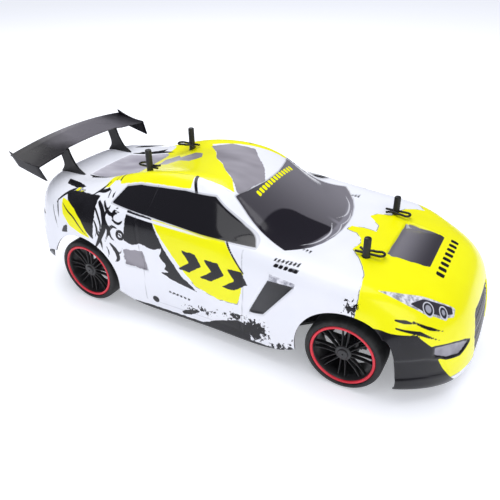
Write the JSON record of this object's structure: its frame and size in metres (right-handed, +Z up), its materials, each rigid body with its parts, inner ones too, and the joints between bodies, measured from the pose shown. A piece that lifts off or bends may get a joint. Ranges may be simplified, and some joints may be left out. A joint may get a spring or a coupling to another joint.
{
  "type": "rc drift car",
  "caption": "Radio-controlled drift car with a printed coupe shell, arched rear wing, clipped body posts, sprung front arms, sliding steering link and a swinging rear drive pod.",
  "frame": {"origin": "on the ground midway between the axles, under the centreline, which is also the middle of the overall length and width", "axes": "+X forward to the nose, +Y to the car's left, +Z up"},
  "size_m": [0.4414, 0.1884, 0.145],
  "materials": {
    "chassis_plastic": "fine moulded grain",
    "arm_plastic": "moulded nylon, slightly satin",
    "bumper_foam": "closed-cell foam",
    "steel": "bright ground steel",
    "clip_wire": "black oxide wire",
    "motor_metal": "drawn steel can",
    "brass": "machined brass",
    "battery_wrap": "heat-shrink film",
    "strap_webbing": "woven webbing",
    "box_plastic": "fine moulded grain",
    "servo_plastic": "satin moulding",
    "horn_plastic": "white nylon",
    "link_metal": "brushed plate",
    "switch_knob": "moulded red",
    "post_plastic": "satin nylon",
    "shell_film": "glossy formed sheet, printed yellow, white, black and grey",
    "wing_plastic": "glossy dark grey sheet",
    "strut_plastic": "satin black moulding",
    "gear_plastic": "natural nylon",
    "rim_plastic": "satin black with a red lip",
    "tyre_compound": "smooth hard drift compound",
    "shock_metal": "red anodised",
    "spring_steel": "red painted wire"
  },
  "bodies": {
    "chassis": {"chassis_tub": "chassis_plastic", "bumper_beam": "bumper_foam", "front_bulkhead": "chassis_plastic", "rear_bulkhead": "chassis_plastic", "hinge_pins": "steel", "chassis_screws": "steel", "battery_pack": "battery_wrap", "battery_strap": "strap_webbing", "control_box": "box_plastic", "steering_servo": "servo_plastic", "body_posts": "post_plastic", "body_shell": "shell_film", "rear_wing": "wing_plastic", "wing_struts": "strut_plastic"},
    "clip_front_right": {"clip_front_right": "clip_wire"},
    "clip_front_left": {"clip_front_left": "clip_wire"},
    "clip_rear_right": {"clip_rear_right": "clip_wire"},
    "clip_rear_left": {"clip_rear_left": "clip_wire"},
    "switch": {"power_switch": "switch_knob"},
    "horn": {"servo_horn": "horn_plastic"},
    "link": {"steering_link": "link_metal"},
    "lower_arm_left": {"lower_arm_left": "arm_plastic"},
    "upper_arm_left": {"upper_arm_left": "arm_plastic"},
    "carrier_left": {"hub_carrier_left": "arm_plastic"},
    "knuckle_left": {"knuckle_left": "arm_plastic", "stub_axle_left": "steel"},
    "wheel_left": {"rim_front_left": "rim_plastic", "tyre_front_left": "tyre_compound"},
    "shock_cylinder_left": {"shock_body_left": "shock_metal", "shock_spring_left": "spring_steel"},
    "shock_piston_left": {"shock_rod_left": "steel"},
    "lower_arm_right": {"lower_arm_right": "arm_plastic"},
    "upper_arm_right": {"upper_arm_right": "arm_plastic"},
    "carrier_right": {"hub_carrier_right": "arm_plastic"},
    "knuckle_right": {"knuckle_right": "arm_plastic", "stub_axle_right": "steel"},
    "wheel_right": {"rim_front_right": "rim_plastic", "tyre_front_right": "tyre_compound"},
    "shock_cylinder_right": {"shock_body_right": "shock_metal", "shock_spring_right": "spring_steel"},
    "shock_piston_right": {"shock_rod_right": "steel"},
    "pod": {"drive_pod": "chassis_plastic", "motor_can": "motor_metal"},
    "pinion": {"motor_pinion": "brass"},
    "rear_wheels": {"rear_axle": "steel", "spur_gear": "gear_plastic", "rim_rear_right": "rim_plastic", "rim_rear_left": "rim_plastic", "tyre_rear_right": "tyre_compound", "tyre_rear_left": "tyre_compound"},
    "damper_cylinder": {"damper_body": "shock_metal", "damper_spring": "spring_steel"},
    "damper_piston": {"damper_rod": "steel"}
  },
  "joints": [
    {"name": "clip_front_right_pull", "type": "slide", "parent": "chassis", "child": "clip_front_right", "axis": [1, 0, 0], "range_m": [0, 0.018]},
    {"name": "clip_front_left_pull", "type": "slide", "parent": "chassis", "child": "clip_front_left", "axis": [1, 0, 0], "range_m": [0, 0.018]},
    {"name": "clip_rear_right_pull", "type": "slide", "parent": "chassis", "child": "clip_rear_right", "axis": [-1, 0, 0], "range_m": [0, 0.018]},
    {"name": "clip_rear_left_pull", "type": "slide", "parent": "chassis", "child": "clip_rear_left", "axis": [-1, 0, 0], "range_m": [0, 0.018]},
    {"name": "switch_slide", "type": "slide", "parent": "chassis", "child": "switch", "axis": [1, 0, 0], "range_m": [0, 0.0045]},
    {"name": "steering_horn", "type": "hinge", "parent": "chassis", "child": "horn", "pos_m": [0.088, 0, 0.0325], "axis": [0, 0, 1], "range_deg": [-30, 30]},
    {"name": "link_slide", "type": "slide", "parent": "chassis", "child": "link", "axis": [0, 1, 0], "range_m": [-0.0091, 0.0091]},
    {"name": "suspension_left", "type": "hinge", "parent": "chassis", "child": "lower_arm_left", "pos_m": [0.13, 0.022, 0.014], "axis": [1, 0, 0], "range_deg": [-6, 6]},
    {"name": "upper_arm_hinge_left", "type": "hinge", "parent": "chassis", "child": "upper_arm_left", "pos_m": [0.13, 0.022, 0.044], "axis": [1, 0, 0], "range_deg": [-6.1, 6.1]},
    {"name": "carrier_hinge_left", "type": "hinge", "parent": "lower_arm_left", "child": "carrier_left", "pos_m": [0.13, 0.05, 0.014], "axis": [1, 0, 0], "range_deg": [-6.1, 6.1]},
    {"name": "kingpin_left", "type": "hinge", "parent": "carrier_left", "child": "knuckle_left", "pos_m": [0.13, 0.062, 0.032], "axis": [0, 0, 1], "range_deg": [-22.1, 22.1]},
    {"name": "wheel_spin_front_left", "type": "hinge", "parent": "knuckle_left", "child": "wheel_left", "pos_m": [0.13, 0.079, 0.032], "axis": [0, 1, 0], "continuous": true},
    {"name": "shock_tilt_left", "type": "hinge", "parent": "chassis", "child": "shock_cylinder_left", "pos_m": [0.142, 0.028, 0.062], "axis": [1, 0, 0], "range_deg": [-0.3, 0.3]},
    {"name": "shock_stroke_left", "type": "slide", "parent": "shock_cylinder_left", "child": "shock_piston_left", "axis": [0, 0.3635, -0.9316], "range_m": [-0.0026, 0.0026], "deforming": ["shock_spring_left"]},
    {"name": "suspension_right", "type": "hinge", "parent": "chassis", "child": "lower_arm_right", "pos_m": [0.13, -0.022, 0.014], "axis": [-1, 0, 0], "range_deg": [-6, 6]},
    {"name": "upper_arm_hinge_right", "type": "hinge", "parent": "chassis", "child": "upper_arm_right", "pos_m": [0.13, -0.022, 0.044], "axis": [-1, 0, 0], "range_deg": [-6.1, 6.1]},
    {"name": "carrier_hinge_right", "type": "hinge", "parent": "lower_arm_right", "child": "carrier_right", "pos_m": [0.13, -0.05, 0.014], "axis": [-1, 0, 0], "range_deg": [-6.1, 6.1]},
    {"name": "kingpin_right", "type": "hinge", "parent": "carrier_right", "child": "knuckle_right", "pos_m": [0.13, -0.062, 0.032], "axis": [0, 0, 1], "range_deg": [-22.1, 22.1]},
    {"name": "wheel_spin_front_right", "type": "hinge", "parent": "knuckle_right", "child": "wheel_right", "pos_m": [0.13, -0.079, 0.032], "axis": [0, 1, 0], "continuous": true},
    {"name": "shock_tilt_right", "type": "hinge", "parent": "chassis", "child": "shock_cylinder_right", "pos_m": [0.142, -0.028, 0.062], "axis": [-1, 0, 0], "range_deg": [-0.3, 0.3]},
    {"name": "shock_stroke_right", "type": "slide", "parent": "shock_cylinder_right", "child": "shock_piston_right", "axis": [0, -0.3635, -0.9316], "range_m": [-0.0026, 0.0026], "deforming": ["shock_spring_right"]},
    {"name": "pod_swing", "type": "hinge", "parent": "chassis", "child": "pod", "pos_m": [-0.066, 0, 0.014], "axis": [0, 1, 0], "range_deg": [-2.5, 2.5]},
    {"name": "rear_axle_spin", "type": "hinge", "parent": "pod", "child": "rear_wheels", "pos_m": [-0.13, 0, 0.032], "axis": [0, 1, 0], "continuous": true},
    {"name": "motor_spin", "type": "hinge", "parent": "pod", "child": "pinion", "pos_m": [-0.10676, 0.045, 0.02599], "axis": [0, 1, 0], "continuous": true},
    {"name": "damper_tilt", "type": "hinge", "parent": "chassis", "child": "damper_cylinder", "pos_m": [-0.06, -0.017, 0.059], "axis": [0, 1, 0], "range_deg": [-2.1, 2.1]},
    {"name": "damper_stroke", "type": "slide", "parent": "damper_cylinder", "child": "damper_piston", "axis": [-0.9935, 0, -0.114], "range_m": [-0.002, 0.002], "deforming": ["damper_spring"]}
  ],
  "couplings": [
    {"joint": "link_slide", "follows": "steering_horn", "m_per_rad": 0.01719},
    {"joint": "upper_arm_hinge_left", "follows": "suspension_left", "ratio": 1},
    {"joint": "carrier_hinge_left", "follows": "suspension_left", "ratio": -1},
    {"joint": "kingpin_left", "follows": "steering_horn", "ratio": -0.73333},
    {"joint": "shock_tilt_left", "follows": "suspension_left", "ratio": 0.0321},
    {"joint": "shock_stroke_left", "follows": "suspension_left", "m_per_rad": -0.023},
    {"joint": "upper_arm_hinge_right", "follows": "suspension_right", "ratio": 1},
    {"joint": "carrier_hinge_right", "follows": "suspension_right", "ratio": -1},
    {"joint": "kingpin_right", "follows": "steering_horn", "ratio": -0.73333},
    {"joint": "shock_tilt_right", "follows": "suspension_right", "ratio": 0.0321},
    {"joint": "shock_stroke_right", "follows": "suspension_right", "m_per_rad": -0.023},
    {"joint": "motor_spin", "follows": "rear_axle_spin", "ratio": -2.75},
    {"joint": "damper_tilt", "follows": "pod_swing", "ratio": 0.8197},
    {"joint": "damper_stroke", "follows": "pod_swing", "m_per_rad": -0.044}
  ]
}
